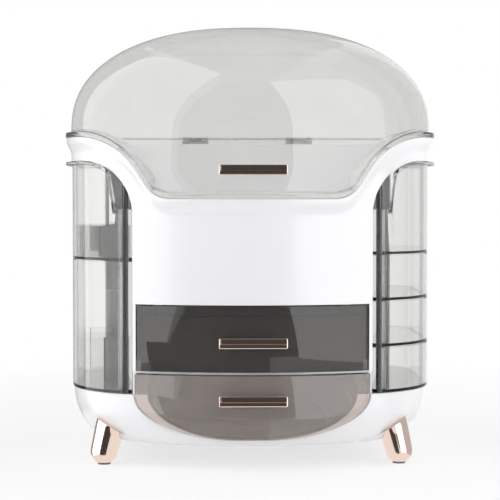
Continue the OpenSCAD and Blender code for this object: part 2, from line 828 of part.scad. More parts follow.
base_tub();
carcass();
rear_cover();
housing();
leg_front_left();
leg_front_right();
leg_rear_left();
leg_rear_right();
foot_pads();
leg_screws();
housing_screws();
rear_cover_screws();
lid_hinge_pins();
pivot_rod_left();
pivot_rod_right();
lid();
lid_handle();
lid_handle_screws();
upper_drawer();
upper_drawer_handle();
upper_drawer_screws();
lower_drawer();
lower_drawer_handle();
lower_drawer_screws();
left_upper_bin();
left_upper_divider();
left_lower_bin();
left_lower_divider();
right_upper_bin();
right_tray_top();
right_tray_middle();
right_tray_bottom();
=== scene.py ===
"""A dome-lidded cosmetics organiser, dressed over its CAD frame.

Shapes are worked out in millimetres and made in metres, in the CAD's own frame:
X to the right, Y to the back, Z up, the floor at Z = 0.
"""

import math

import bmesh
import bpy
from mathutils import Matrix, Vector


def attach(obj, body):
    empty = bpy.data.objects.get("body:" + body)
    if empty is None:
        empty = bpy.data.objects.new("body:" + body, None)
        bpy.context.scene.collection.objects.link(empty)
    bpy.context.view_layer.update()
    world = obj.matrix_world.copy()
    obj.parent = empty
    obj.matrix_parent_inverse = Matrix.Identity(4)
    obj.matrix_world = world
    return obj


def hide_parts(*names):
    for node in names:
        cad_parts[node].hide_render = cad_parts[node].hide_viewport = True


bl_info = {
    "name": "Cosmetics organiser",
    "version": (1, 0, 0),
    "blender": (4, 5, 0),
    "location": "3D Viewport > Sidebar > Organiser",
    "description": "Dresses a dome-lidded cosmetics organiser over its CAD frame",
    "category": "Object",
}

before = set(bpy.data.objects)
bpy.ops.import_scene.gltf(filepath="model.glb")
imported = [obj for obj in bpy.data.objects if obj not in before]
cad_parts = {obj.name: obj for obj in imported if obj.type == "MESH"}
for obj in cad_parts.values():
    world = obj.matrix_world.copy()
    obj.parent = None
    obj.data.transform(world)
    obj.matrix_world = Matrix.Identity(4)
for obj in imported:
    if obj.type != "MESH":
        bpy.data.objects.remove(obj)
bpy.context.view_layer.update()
MM = 1000.0


# ---- properties ---------------------------------------------------------------------------


def length(name, millimetres, description):
    return bpy.props.FloatProperty(name=name, description=description, default=millimetres / MM,
                                   min=0.0, precision=4, unit="LENGTH", subtype="DISTANCE")


def number(name, default, description):
    return bpy.props.FloatProperty(name=name, description=description, default=default, min=0.0)


def share(name, default, description):
    return bpy.props.FloatProperty(name=name, description=description, default=default,
                                   min=0.0, max=1.0, subtype="FACTOR")


def turn(name, degrees, description):
    return bpy.props.FloatProperty(name=name, description=description,
                                   default=math.radians(degrees), unit="ROTATION", subtype="ANGLE")


def colour(name, default, description):
    return bpy.props.FloatVectorProperty(name=name, description=description, default=default,
                                         size=3, min=0.0, max=1.0, subtype="COLOR")


class OrganiserSizes(bpy.types.PropertyGroup):
    """Sizes of the organiser, the same as the CAD's"""
    body_width: length("Body width", 290, "Width over the straight sides")
    body_depth: length("Body depth", 205, "Depth from the bowed front to the flat back")
    bow_radius: length("Bow radius", 260, "Radius of the bow across the front")
    front_corner: length("Front corner", 75, "Radius of the two front corners")
    back_corner: length("Back corner", 40, "Radius of the two back corners")
    wall: length("White wall", 2.5, "Wall thickness of the white mouldings")
    base_z: length("Base underside", 18, "Height of the underside of the base")
    deck_z: length("Deck", 57, "Height of the deck that the side bins turn on")
    housing_z: length("Housing underside", 127, "Height of the underside of the housing")
    rim_z: length("Rim", 256.5, "Height of the rim at the sides and the back")
    dip_z: length("Dipped rim", 207.8, "Height of the rim at the middle of the front")
    rim_out: length("Rim flare", 4, "How far the rim flares past the body")
    rim_deep: length("Flare height", 13, "Height of the flare")
    dip_half: length("Dip half width", 62, "Half width of the level middle of the dipped rim")
    sweep_low_r: length("Sweep foot radius", 22, "Radius of the sweep at its foot")
    sweep_high_r: length("Sweep shoulder radius", 56, "Radius of the sweep at its shoulder")
    sweep_slope: turn("Sweep slope", 57, "Steepest slope of the sweep")
    dome_height: length("Dome height", 84, "Height of the dome above its springing line")
    dome_fullness: number("Dome fullness", 2.3, "2 is an ellipse, and more is squarer")
    lid_wall: length("Lid wall", 2.2, "Wall thickness of the lid")
    flange_out: length("Lid flange", 4.5, "How far the lid's flange stands out")
    flange_h: length("Flange height", 4, "Height of the lid's flange")
    tower_x: length("Middle half width", 92.5, "Half width of the middle between the towers")
    arch_r: length("Arch radius", 42, "Radius of the arch over each tower")
    arch_z: length("Arch crown", 238, "Height of the arch's crown")
    left_split: length("Left split", 159.5, "Height at which the left tower is split")
    right_split: length("Right split", 164.4, "Height at which the upper right bin starts")
    clear_wall: length("Clear wall", 2, "Wall thickness of the clear mouldings")
    tube_r: length("Hinge tube radius", 5.2, "Radius of the hinge tube on each bin")
    lower_front_z: length("Lower front bottom", 23.6, "Bottom of the lower drawer's front")
    lower_top_z: length("Lower front top", 73, "Top of the lower drawer's front")
    lower_half: length("Lower front half width", 91, "Half width of the lower drawer's front")
    lower_corner_w: length("Corner width", 80, "Width of the lower front's bottom rounding")
    lower_corner_h: length("Corner height", 33, "Height of that rounding")
    front_t: length("Drawer front", 3.2, "Thickness of the drawer fronts")
    box_drop: length("Box drop", 8, "How far a drawer's box stops below its front")
    upper_box_in: length("Upper box inset", 4.5, "Distance of the upper box from its front's ends")
    lower_box_in: length("Lower box inset", 11, "Distance of the lower box from its front's ends")
    handle_w: length("Handle width", 52, "Width of a handle")
    handle_h: length("Handle height", 8, "Height of a handle")
    handle_out: length("Handle reach", 9.6, "Reach of a handle in front of the surface")
    leg_r: length("Foot radius", 10.6, "Radius of a leg at its foot")
    leg_top_r: length("Leg top radius", 12.6, "Radius of a leg where it meets the base")
    leg_lean: turn("Leg lean", 13.5, "Outward lean of a leg")
    leg_x: length("Foot distance", 116, "Distance of a foot from the middle of the body")
    leg_inset_y: length("Foot inset", 39.5, "Distance of a foot from the front or the back")


class OrganiserFinishes(bpy.types.PropertyGroup):
    """Colours of the organiser's finishes"""
    white: colour("White plastic", (0.90, 0.90, 0.92), "Gloss white moulded plastic")
    smoke: colour("Lid smoke", (0.835, 0.835, 0.82), "What a wall of the lid lets through")
    clear: colour("Clear", (0.915, 0.915, 0.905), "What a wall of the bins lets through")
    upper_smoke: colour("Upper drawer", (0.46, 0.44, 0.42), "What the upper drawer lets through")
    lower_smoke: colour("Lower drawer", (0.81, 0.75, 0.715), "What the lower drawer lets through")
    depth: number("Plastic density", 30, "Absorption inside the clear plastics, per metre")
    gold: colour("Rose gold", (0.87, 0.70, 0.61), "Polished rose-gold plating")
    steel: colour("Steel", (0.62, 0.62, 0.63), "Bright steel of screws and pins")
    dark_steel: colour("Dark steel", (0.10, 0.10, 0.105), "Blackened steel of the rods")
    rubber: colour("Rubber", (0.16, 0.16, 0.16), "Soft rubber of the foot pads")


class OrganiserStage(bpy.types.PropertyGroup):
    """Camera, lamps and backdrop"""
    eye_distance: length("Eye distance", 1150, "From the camera to the front of the body")
    eye_height: length("Eye height", 207, "Height of the camera above the floor")
    eye_aside: length("Eye aside", 30, "How far the camera stands to the left")
    focal: number("Lens", 109.4, "Focal length in millimetres")
    tilt: turn("Tilt", 1.886, "How far the camera looks down")
    panel_light: number("Panel light", 1.24, "Radiance of the light panels, where white is 1")
    panel_gloss: number("Panel highlight", 2.6, "Radiance of the front panels in reflections")
    rear_gloss: number("Rear highlight", 0.6, "Radiance of the rear panel in reflections")
    flag_grey: number("Grey flags", 0.36, "Radiance of the flags above, left and behind")
    flag_dark: number("Dark flag", 0.06, "Radiance of the flags round the camera")
    lift: number("Light through plastic", 1.15, "Light added to what lies behind plastic")
    sky: number("Sky", 0.35, "Strength of the plain surroundings")
    floor: colour("Floor", (0.9, 0.9, 0.9), "Colour of the floor and the backdrop")
    shadow: share("Floor shadow", 0.3, "How much of the object's shadow the floor shows")


# ---- form ---------------------------------------------------------------------------------

RATIOS = ("sweep_slope", "dome_fullness", "leg_lean")
FLARE_STEPS = 7
KNUCKLES = 46.0  # distance of the lid's hinge knuckles from the middle
KNUCKLE_R = 3.6
KNUCKLE_SLOT = (-6.5, 6.5)  # the housing's rim is let in here, from a knuckle's middle
EAR_NOTCH = (6, 12)  # and the lid's flange here, for the two ears beside it
# Stations along the flat back, doubled where a slot or a notch begins and ends
BACK_XS = (105, 95, 85, 75, 65, 58.01, 58, 52.51, 52.5, 52, 51.99, 46, 40.01, 40,
           39.5, 39.49, 34, 33.99, 25, 16, 8, 0)
TOWER_END = 7  # from the flat back to the end of a tower's opening
BASE_INSET = 2.0
TUCK_FRONT = 7.0
TUCK_SIDE = 22.0
# The lower drawer's bay is cut from this far before the front to this far short of the back
BAY_FRONT, BAY_REAR, BAY_TOP = 20, 15, 90.0
BOX_LIFT = 1.4  # from the bottom of the lower front to its box
BOX_REAR = 18  # from the flat back to the rear of the drawers' boxes
LINING = 1.2  # from the outer face to the arch liners and the housing's floor
FLOOR_LIFT = 2.5  # from the housing's underside to its floor
BIN_INSET = 0.8
BIN_REAR = 8  # from the flat back to the rear of the bins
BIN_FOOT = 3.7  # how far the arched bins' edge rises over the arch's foot by the hinge tube
SWING_GAP = 0.6
LID_GAP = 0.4
# A rod's socket, from above the arch's foot to above the arch
SOCKET_R, SOCKET_LOW, SOCKET_HIGH = 2.4, 4.6, 0.8
HANDLE_Z = {"lid": 229.6, "upper_drawer": 98.6, "lower_drawer": 54.6}
POST_X = 20  # from a handle's middle to each of its posts
PAD, LEG_TOP, LEG_FALL = 1.2, 39.5, 0.56  # heights of pad and leg, and the slope of a leg's top
SMOOTH = 38.0  # degrees up to which an edge is shaded smooth
BEVELLED = 50.0  # degrees from which an edge gets a bevel


def steps(a, b, n):
    """n values from a up to b, b left out."""
    return [a + (b - a) * i / n for i in range(n)]


def span(a, b, n):
    """n steps from a to b, and b."""
    return steps(a, b, n) + [b]


def circle(n):
    return [2 * math.pi * i / n for i in range(n)]


def arc(x, y, r, degrees):
    return [(x + r * math.cos(math.radians(a)), y + r * math.sin(math.radians(a)))
            for a in degrees]


def ease(t):
    return t * t * (3 - 2 * t)


def mirrored(station):
    ox, oy, r, a = station
    return (-ox, oy, r, math.pi - a)


def place(station, inset=0.0, squeeze=1.0):
    """A point of the outline seen from above, drawn in by inset."""
    ox, oy, r, a = station
    return (ox + (r - inset) * math.cos(a)) * squeeze, oy + (r - inset) * math.sin(a)


class Form:
    """The organiser's outline, rim and arch in millimetres.

    A station is a place on the outline: the centre, radius and angle of the arc it lies on.
    """

    def __init__(self, context):
        sizes = context.scene.organiser_sizes
        for key in OrganiserSizes.__annotations__:
            value = getattr(sizes, key)
            setattr(self, key, value if key in RATIOS else value * MM)
        self.half = self.body_width / 2
        self.front = -self.body_depth / 2
        self.back = self.body_depth / 2
        self.bow_y = self.front + self.bow_radius
        self.corner_x = self.half - self.front_corner
        self.corner_y = self.bow_y - math.sqrt(
            (self.bow_radius - self.front_corner) ** 2 - self.corner_x ** 2)
        self.bow_end = math.atan2(self.corner_y - self.bow_y, self.corner_x)
        self.turn_y = self.back - self.back_corner
        self.rear_corner = (self.half - self.back_corner, self.turn_y, self.back_corner)
        rise, slope = 1 - math.cos(self.sweep_slope), math.tan(self.sweep_slope)
        self.x1 = self.dip_half + self.sweep_low_r * math.sin(self.sweep_slope)
        self.z1 = self.dip_z + self.sweep_low_r * rise
        self.z2 = self.rim_z - self.sweep_high_r * rise
        self.x2 = self.x1 + (self.z2 - self.z1) / slope
        self.x3 = self.x2 + self.sweep_high_r * math.sin(self.sweep_slope)
        self.arch_foot = self.arch_z - self.arch_r
        self.arch_x = self.tower_x + self.arch_r
        self.pivot_x = self.tower_x + SWING_GAP + self.tube_r
        self.pivot_y = self.front_at(self.pivot_x) + self.tube_r + 0.2
        self.dome_z = self.rim_z + LID_GAP + self.flange_h + 0.8 + 1.3
        self.hinge_y = self.back + 6.0
        self.hinge_z = self.rim_z + 2.4

    def station(self, x):
        """The front's station at a signed x."""
        side = abs(x)
        if side < self.bow_radius * math.cos(self.bow_end):
            a = -math.pi / 2 + math.asin(side / self.bow_radius)
            found = (0.0, self.bow_y, self.bow_radius, a)
        else:
            a = -math.acos(min(1.0, (side - self.corner_x) / self.front_corner))
            found = (self.corner_x, self.corner_y, self.front_corner, a)
        return mirrored(found) if x < 0 else found

    def front_at(self, x, inset=0.0):
        """Y of the front face at x, drawn in by inset."""
        side = abs(x)
        if side < (self.bow_radius - inset) * math.cos(self.bow_end) + 1e-9:
            return self.bow_y - math.sqrt((self.bow_radius - inset) ** 2 - side ** 2)
        r = self.front_corner - inset
        return self.corner_y - math.sqrt(max(0.0, r ** 2 - (side - self.corner_x) ** 2))

    def back_at(self, x, inset=0.0):
        centre, r = self.half - self.back_corner, self.back_corner - inset
        return self.turn_y + (r if abs(x) <= centre
                              else math.sqrt(max(0.0, r ** 2 - (abs(x) - centre) ** 2)))

    def sweep(self, x):
        if x <= self.dip_half:
            return self.dip_z
        if x <= self.x1:
            r = self.sweep_low_r
            return self.dip_z + r - math.sqrt(r ** 2 - (x - self.dip_half) ** 2)
        if x <= self.x2:
            return self.z1 + (x - self.x1) * math.tan(self.sweep_slope)
        if x <= self.x3:
            r = self.sweep_high_r
            return self.rim_z - r + math.sqrt(r ** 2 - (self.x3 - x) ** 2)
        return self.rim_z

    def rim(self, station):
        x, y = place(station)
        return self.rim_z if y > 0 else self.sweep(abs(x))

    def arch(self, x, gap=0.0):
        """Height of the arch over a tower at a distance x from the middle."""
        r = self.arch_r - gap
        reach = self.arch_x - abs(x)
        return self.arch_foot + (r if reach <= 0 else math.sqrt(max(0.0, r * r - reach * reach)))

    def arch_xs(self, degrees):
        """Distances from the middle at angles round the arch over a tower."""
        return [self.tower_x + self.arch_r * (1 - math.cos(math.radians(a))) for a in degrees]

    def to_back(self, xs, turns, rows):
        """Stations at xs on the front, then round the corner and along the straight side."""
        ring = [self.station(x) for x in xs]
        low = ring[-1][3]
        ring += [(self.corner_x, self.corner_y, self.front_corner, a)
                 for a in steps(low, 0, turns)[1:]]
        return ring + [(self.corner_x, y, self.front_corner, 0.0)
                       for y in steps(self.corner_y, self.turn_y, rows)]

    def half_ring(self):
        """Stations from the middle of the front by the right side to the middle of the back,
        and the range of them that lies over the tower."""
        xs = (steps(0, self.dip_half, 16) + steps(self.dip_half, self.x1, 12)
              + steps(self.x1, self.tower_x, 6) + self.arch_xs(range(0, 90, 4)) + [self.arch_x])
        ring = self.to_back(xs, 9, 10)
        jump = math.asin((self.back - TOWER_END - self.turn_y) / self.back_corner)
        ring += [(*self.rear_corner, a) for a in steps(0, jump, 9)]
        end = len(ring)
        ring += [(*self.rear_corner, a) for a in steps(jump, math.pi / 2, 6)]
        ring += [(x, self.turn_y, self.back_corner, math.pi / 2) for x in BACK_XS]
        return ring, xs.index(self.tower_x), end

    def full_ring(self):
        """All the way round, and for each interval whether it lies over a tower."""
        ring, first, last = self.half_ring()
        full = ring + [mirrored(s) for s in reversed(ring[1:-1])]
        n = len(full)
        over = [first <= i < last or first <= n - 1 - i < last for i in range(n)]
        return full, over


def in_slot(x, low, high):
    return low <= abs(x) - KNUCKLES <= high or low <= KNUCKLES - abs(x) <= high


# ---- mesh making --------------------------------------------------------------------------


class Mould:
    """Points in millimetres and faces, gathered into one mesh."""

    def __init__(self):
        self.points = []
        self.faces = []

    def ring(self, points):
        start = len(self.points)
        self.points += [tuple(p) for p in points]
        return list(range(start, len(self.points)))

    def skin(self, a, b, closed=True):
        n = len(a)
        for i in range(n if closed else n - 1):
            j = (i + 1) % n
            self.faces.append((a[i], a[j], b[j], b[i]))

    def loft(self, sections, caps=True):
        """Joins sections of equal length. caps closes the ends."""
        rings = [self.ring(s) for s in sections]
        for a, b in zip(rings, rings[1:]):
            self.skin(a, b)
        if caps:
            self.faces += [tuple(rings[0]), tuple(rings[-1])]
        return rings

    def tube(self, a, b, r):
        """A closed cylinder from point a to point b."""
        axis = (Vector(b) - Vector(a)).normalized()
        u = axis.orthogonal().normalized()
        w = axis.cross(u)
        self.loft([[Vector(p) + r * (u * math.cos(t) + w * math.sin(t)) for t in circle(40)]
                   for p in (a, b)])

    def mesh(self, name, mirror=False, bevel=0.0, smooth=SMOOTH):
        bm = bmesh.new()
        flip = -1 if mirror else 1
        verts = [bm.verts.new((x * flip / MM, y / MM, z / MM)) for x, y, z in self.points]
        for face in self.faces:
            if len(set(face)) > 2:
                bm.faces.new([verts[i] for i in face])
        bmesh.ops.remove_doubles(bm, verts=bm.verts, dist=2e-7)
        bmesh.ops.dissolve_degenerate(bm, dist=1e-7, edges=bm.edges)
        bmesh.ops.recalc_face_normals(bm, faces=bm.faces)
        if bevel:
            sharp = [e for e in bm.edges
                     if e.is_manifold and e.calc_face_angle() > math.radians(BEVELLED)]
            bmesh.ops.bevel(bm, geom=sharp, offset=bevel / MM, offset_type="OFFSET", segments=2,
                            profile=0.5, affect="EDGES", clamp_overlap=True)
        mesh = bpy.data.meshes.new(name)
        bm.to_mesh(mesh)
        bm.free()
        mesh.shade_smooth()
        mesh.set_sharp_from_angle(angle=math.radians(smooth))
        return mesh


def put(mesh, name, material, body, nodes, weighted=False):
    """Makes the object, lets it ride on its body and stand for its CAD nodes."""
    piece = bpy.data.objects.new(name, mesh)
    bpy.context.scene.collection.objects.link(piece)
    mesh.materials.append(material)
    if weighted:
        even = piece.modifiers.new("Even normals", "WEIGHTED_NORMAL")
        even.keep_sharp = True
    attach(piece, body)
    if nodes:
        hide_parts(*nodes)
    return piece


def cut(mesh, name, *tools):
    """A copy of mesh with the tool meshes cut out of it."""
    block = bpy.data.objects.new(name, mesh)
    bpy.context.scene.collection.objects.link(block)
    cutters = []
    for tool in tools:
        cutter = bpy.data.objects.new(name + "_cutter", tool)
        bpy.context.scene.collection.objects.link(cutter)
        modifier = block.modifiers.new("Cut", "BOOLEAN")
        modifier.operation, modifier.solver, modifier.object = "DIFFERENCE", "EXACT", cutter
        cutters.append(cutter)
    bpy.context.view_layer.update()
    graph = bpy.context.evaluated_depsgraph_get()
    result = bpy.data.meshes.new_from_object(block.evaluated_get(graph))
    for thing in (block, *cutters):
        bpy.data.objects.remove(thing)
    result.name = name
    result.shade_smooth()
    result.set_sharp_from_angle(angle=math.radians(SMOOTH))
    return result


# ---- finishes -----------------------------------------------------------------------------


class Field:
    """A socket of a shader graph that can stand in a Python expression."""

    def __init__(self, graph, socket):
        self.graph = graph
        self.socket = socket

    def _maths(self, operation, *values):
        return self.graph.node("ShaderNodeMath", {"operation": operation},
                               dict(enumerate(values)))

    def __add__(self, other):
        return self._maths("ADD", self, other)

    def __mul__(self, other):
        return self._maths("MULTIPLY", self, other)

    def __rsub__(self, other):
        return self._maths("SUBTRACT", other, self)

    __radd__ = __add__
    __rmul__ = __mul__

    def clipped(self):
        return self._maths("MAXIMUM", self._maths("MINIMUM", self, 1.0), 0.0)

    def larger(self, other):
        return self._maths("MAXIMUM", self, other)


class Graph:
    """The node tree of a material or a world."""

    def __init__(self, owner):
        owner.use_nodes = True
        self.owner = owner
        self.tree = owner.node_tree
        self.tree.nodes.clear()

    def node(self, kind, settings=None, inputs=None, out=0):
        made = self.tree.nodes.new(kind)
        for key, value in (settings or {}).items():
            setattr(made, key, value)
        for key, value in (inputs or {}).items():
            if isinstance(value, Field):
                self.tree.links.new(value.socket, made.inputs[key])
            else:
                made.inputs[key].default_value = value
        return Field(self, made.outputs[out])

    def place(self):
        return self.node("ShaderNodeTexCoord", out="Object")

    def noise(self, scale, detail):
        return self.node("ShaderNodeTexNoise", {"noise_dimensions": "3D"},
                         {"Vector": self.place(), "Scale": scale, "Detail": detail,
                          "Roughness": 0.5})

    def blend(self, amount, a, b):
        """Mixes two colours."""
        return self.node("ShaderNodeMix", {"data_type": "RGBA"}, {0: amount, 6: a, 7: b}, out=2)

    def bump(self, height, strength, distance):
        return self.node("ShaderNodeBump", None,
                         {"Height": height, "Strength": strength, "Distance": distance / MM})

    def surface(self, shader, volume=None):
        end = self.tree.nodes.new("ShaderNodeOutputMaterial")
        self.tree.links.new(shader.socket, end.inputs["Surface"])
        if volume:
            self.tree.links.new(volume.socket, end.inputs["Volume"])
        return self.owner


def tone(value, gain=1.0):
    return tuple(min(1.0, c * gain) for c in value) + (1.0,)


def finish_graph(name):
    return Graph(bpy.data.materials.new(name))


def made_once(make):
    """Keeps one material for each finish, apart from the CAD's own of the same name."""
    def get(context):
        name = make.__name__ + "_finish"
        found = bpy.data.materials.get(name)
        return found or make(context.scene.organiser_finishes, finish_graph(name))
    return get


@made_once
def white_plastic(finishes, g):
    cloud = g.noise(14, 3)
    grain = g.noise(1500, 2)
    skin = g.node("ShaderNodeBsdfPrincipled", None, {
        "Base Color": g.blend(cloud, tone(finishes.white), tone(finishes.white, 0.965)),
        "Roughness": 0.17 + 0.09 * g.noise(60, 4),
        "IOR": 1.5,
        "Coat Weight": 0.25,
        "Coat Roughness": 0.08,
        "Normal": g.bump(grain, 0.05, 0.05),
    })
    return g.surface(skin)


def clear_plastic(g, let_through, density, haze=0.0):
    """Polished see-through plastic with faint moulding waves, darker where it is thick."""
    wave = g.noise(22, 2)
    skin = g.node("ShaderNodeBsdfPrincipled", None, {
        "Base Color": g.blend(wave, tone(let_through, 0.985), tone(let_through, 1.015)),
        "Roughness": 0.012 + 0.03 * g.noise(90, 3),
        "IOR": 1.49,
        "Transmission Weight": 1.0 - haze,
        "Normal": g.bump(wave, 0.08, 0.4),
    })
    depth = g.node("ShaderNodeVolumeAbsorption", None,
                   {"Color": tone(let_through, 0.92), "Density": density})
    return g.surface(skin, depth)


@made_once
def clear_smoke(finishes, g):
    return clear_plastic(g, finishes.smoke, finishes.depth)


@made_once
def clear_bin(finishes, g):
    return clear_plastic(g, finishes.clear, finishes.depth)


@made_once
def upper_smoke(finishes, g):
    return clear_plastic(g, finishes.upper_smoke, finishes.depth, 0.055)


@made_once
def lower_smoke(finishes, g):
    return clear_plastic(g, finishes.lower_smoke, finishes.depth, 0.16)


@made_once
def rose_gold(finishes, g):
    wear = g.noise(240, 4)
    skin = g.node("ShaderNodeBsdfPrincipled", None, {
        "Base Color": g.blend(g.noise(35, 2), tone(finishes.gold), tone(finishes.gold, 0.93)),
        "Metallic": 1.0,
        "Roughness": 0.07 + 0.07 * wear,
        "Normal": g.bump(g.noise(900, 2), 0.03, 0.04),
    })
    return g.surface(skin)


def drawn_steel(g, shade):
    brushed = g.node("ShaderNodeTexNoise", None, {
        "Vector": g.node("ShaderNodeMapping", None,
                         {"Vector": g.place(), "Scale": (900, 900, 60)}),
        "Scale": 1.0, "Detail": 3.0})
    skin = g.node("ShaderNodeBsdfPrincipled", None, {
        "Base Color": g.blend(brushed, tone(shade), tone(shade, 0.85)),
        "Metallic": 1.0,
        "Roughness": 0.2 + 0.18 * brushed,
        "Normal": g.bump(brushed, 0.06, 0.03),
    })
    return g.surface(skin)


@made_once
def bright_steel(finishes, g):
    return drawn_steel(g, finishes.steel)


@made_once
def dark_steel(finishes, g):
    return drawn_steel(g, finishes.dark_steel)


@made_once
def pad_rubber(finishes, g):
    grain = g.noise(1200, 3)
    skin = g.node("ShaderNodeBsdfPrincipled", None, {
        "Base Color": g.blend(grain, tone(finishes.rubber), tone(finishes.rubber, 1.4)),
        "Roughness": 0.7 + 0.2 * grain,
        "Normal": g.bump(grain, 0.3, 0.1),
    })
    return g.surface(skin)


# ---- white mouldings ----------------------------------------------------------------------


def housing_section(form, station, share_up):
    """A loop up the outside, over the rim and down the inside."""
    x, y = place(station)
    rim = form.rim(station)
    flare_z = rim - form.rim_deep
    if y > 0:
        middle = form.arch_z
    elif abs(x) < form.tower_x - 1e-6:
        middle = form.housing_z + share_up * (flare_z - form.housing_z)
    else:
        middle = form.arch(x)
    out = form.rim_out
    low = [form.housing_z + (middle - form.housing_z) * k / 6 for k in range(7)]
    low += [middle + (flare_z - middle) * k / 3 for k in (1, 2, 3)]
    outside = [(0.0, z) for z in low]
    outside += [(-out * ease(k / FLARE_STEPS), flare_z + (form.rim_deep - 2) * k / FLARE_STEPS)
                for k in range(1, FLARE_STEPS + 1)]
    outside += [(-out, rim - 0.7), (-out + 0.2, rim - 0.2), (-out + 0.7, rim)]
    if y > 0 and in_slot(x, *KNUCKLE_SLOT):
        outside = [(max(i, -1.5), z) if z > rim - 2.1 else (i, z) for i, z in outside]
    inside = [(form.wall - 0.6, rim), (form.wall, rim - 0.6)]
    inside += [(form.wall, z) for z in reversed(low)]
    return [(*place(station, i), z) for i, z in outside + inside], 6


def housing_shell(form, mould):
    stations, over = form.full_ring()
    at_tower = form.rim(form.station(form.tower_x)) - form.rim_deep
    share_up = (form.arch_foot - form.housing_z) / (at_tower - form.housing_z)
    rings = []
    for s in stations:
        section, skipped = housing_section(form, s, share_up)
        rings.append(mould.ring(section))
    n, m = len(rings), len(rings[0])
    for i in range(n):
        a, b = rings[i], rings[(i + 1) % n]
        first, last = (skipped, m - 1 - skipped) if over[i] else (0, m - 1)
        for k in range(first, last):
            mould.faces.append((a[k], b[k], b[k + 1], a[k + 1]))
        mould.faces.append((a[last], b[last], b[first], a[first]))
        if over[i] != over[i - 1]:
            for k in range(skipped):
                mould.faces.append((a[k], a[k + 1], a[m - 2 - k], a[m - 1 - k]))


def arch_liner(form, mould, side):
    path = [((form.tower_x, z), (-1, 0)) for z in (form.housing_z + FLOOR_LIFT, form.arch_foot)]
    for a in range(4, 91, 4):
        c, s = math.cos(math.radians(a)), math.sin(math.radians(a))
        path.append(((form.arch_x - form.arch_r * c, form.arch_foot + form.arch_r * s), (-c, s)))
    path[-1] = ((form.arch_x, form.arch_z), (0, 1))
    path += [((form.arch_x + d, form.arch_z), (0, 1)) for d in (3.5, 6.5, 8.5)]
    sections = []
    for (x, z), (dx, dz) in path:
        y0, y1 = form.front_at(x, LINING), form.back_at(x, LINING)
        near = (x, z)
        away = (x + form.wall * dx, z + form.wall * dz)
        sections.append([(side * p[0], y, p[1]) for p, y in
                         ((near, y0), (near, y1), (away, y1), (away, y0))])
    mould.loft(sections)


def housing_floor(form, mould):
    z0 = form.housing_z + FLOOR_LIFT
    z1, rear, end = z0 + form.wall, form.back - LINING, form.tower_x - 0.5
    mould.loft([[(x, form.front_at(x, LINING), z0), (x, rear, z0), (x, rear, z1),
                 (x, form.front_at(x, LINING), z1)] for x in span(-end, end, 30)])


def hinge_ear(form, mould, x):
    y, z, r, rim = form.hinge_y, form.hinge_z, KNUCKLE_R, form.rim_z
    outline = [(form.back - 1, rim - 9), (y + r - 1.2, rim - 9), (y + r, rim - 7.8)]
    outline += arc(y, z, r, range(0, 181, 12))
    outline += [(y - r, rim - 2), (form.back - 1, rim - 2)]
    mould.loft([[(x + d, py, pz) for py, pz in outline] for d in (-2.5, 2.5)])


class ORGANISER_OT_housing(bpy.types.Operator):
    """Make the white housing with its swept rim, arches, floor and hinge ears"""
    bl_idname = "organiser.housing"
    bl_label = "Housing"

    def execute(self, context):
        form = Form(context)
        mould = Mould()
        housing_shell(form, mould)
        shell = mould.mesh("housing_shell", bevel=0.45)
        put(shell, "housing_shell", white_plastic(context), "cabinet", ["housing"],
            weighted=True)
        trim = Mould()
        for side in (-1, 1):
            arch_liner(form, trim, side)
            for edge in (-9, 9):
                hinge_ear(form, trim, side * KNUCKLES + edge)
        housing_floor(form, trim)
        put(trim.mesh("housing_lining", bevel=0.3), "housing_lining", white_plastic(context),
            "cabinet", [], weighted=True)
        for hand, side in (("left", -1), ("right", 1)):
            socket = Mould()
            x, y = side * form.pivot_x, form.pivot_y
            socket.tube((x, y, form.arch_foot + SOCKET_LOW),
                        (x, y, form.arch(form.pivot_x) + SOCKET_HIGH), SOCKET_R)
            put(socket.mesh("rod_socket_" + hand, bevel=0.3), "rod_socket_" + hand,
                dark_steel(context), "cabinet", [])
        return {"FINISHED"}


def rounded_profile(half, z0, w, h, grow=0.0, count=20):
    """The lower drawer's section from its right end, round the bottom, to its left end."""
    half, w, h, z0 = half + grow, w + grow, h + grow, z0 - grow
    right = [(half - w + w * math.cos(t), z0 + h - h * math.sin(t))
             for t in (math.pi / 2 * k / count for k in range(count + 1))]
    return right + [(-x, z) for x, z in reversed(right)]


class ORGANISER_OT_base(bpy.types.Operator):
    """Make the white base with the lower drawer's bay cut into it"""
    bl_idname = "organiser.base"
    bl_label = "Base"

    def execute(self, context):
        form = Form(context)
        stations, _ = form.full_ring()
        body = Mould()
        sections = []
        for k in range(25):
            u = math.cos(math.pi / 2 * k / 24)
            c = 1 - math.sqrt(max(0.0, 1 - u * u))
            z = form.deck_z - (form.deck_z - form.base_z) * u
            inset, squeeze = BASE_INSET + TUCK_FRONT * c, 1 - TUCK_SIDE / form.half * c
            sections.append([(*place(s, inset, squeeze), z) for s in stations])
        body.loft(sections)
        bay, step = Mould(), Mould()
        w, h, z0 = form.lower_corner_w, form.lower_corner_h, form.lower_front_z
        inset, front = form.lower_box_in, form.front - BAY_FRONT
        profile = rounded_profile(form.lower_half - inset, z0 + BOX_LIFT, w - inset, h, 0.6)
        loop = profile + [(profile[-1][0], BAY_TOP), (profile[0][0], BAY_TOP)]
        bay.loft([[(x, y, z) for x, z in loop] for y in (front, form.back - BAY_REAR)])
        deep = form.front_t + 1
        step.loft([[(x, front, z), (x, form.front_at(x, deep), z),
                    (x, form.front_at(x, deep), BAY_TOP), (x, front, BAY_TOP)]
                   for x, z in rounded_profile(form.lower_half, z0, w, h, 0.8)])
        mesh = cut(body.mesh("base_shell"), "base_shell", bay.mesh("bay"), step.mesh("step"))
        put(mesh, "base_shell", white_plastic(context), "cabinet", ["base_tub"],
            weighted=True)
        return {"FINISHED"}


# ---- lid ----------------------------------------------------------------------------------


